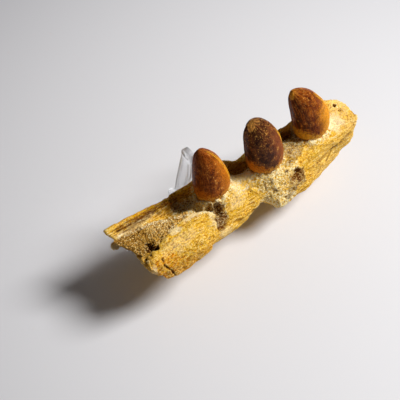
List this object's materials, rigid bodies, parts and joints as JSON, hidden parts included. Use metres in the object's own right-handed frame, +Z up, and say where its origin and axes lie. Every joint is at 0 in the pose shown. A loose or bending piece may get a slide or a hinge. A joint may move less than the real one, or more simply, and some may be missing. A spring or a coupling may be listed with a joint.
{
  "type": "fossil mosasaur jaw section on a display easel",
  "caption": "Broken length of fossil reptile lower jaw with curved brown teeth and sandy matrix, held tooth-side up on a small clear easel",
  "frame": {"origin": "on the surface the easel stands on, under the middle of the whole object", "axes": "+X along the jaw from its back end to its front end, +Y towards the tall upright of the easel, +Z up"},
  "size_m": [0.1582, 0.0566, 0.0783],
  "materials": {
    "fossil_bone": "fossil bone, golden ochre with cream and orange-brown stain, fibrous and pitted, dry",
    "sandy_matrix": "sandy phosphate rock, grey-tan and granular, dull",
    "enamel_rear": "tooth enamel, reddish amber-brown, semi-gloss with fine upright striae",
    "enamel_middle": "tooth enamel, dark chocolate brown with an amber base, semi-gloss",
    "enamel_front": "tooth enamel, honey amber with dark streaks, semi-gloss",
    "clear_plastic": "clear moulded plastic, see-through, polished"
  },
  "bodies": {
    "root": {"jaw_bone": "fossil_bone", "matrix_fill": "sandy_matrix", "tooth_rear": "enamel_rear", "tooth_middle": "enamel_middle", "tooth_front": "enamel_front", "stand_upright": "clear_plastic", "stand_low_arm": "clear_plastic", "stand_bar": "clear_plastic"}
  },
  "joints": []
}
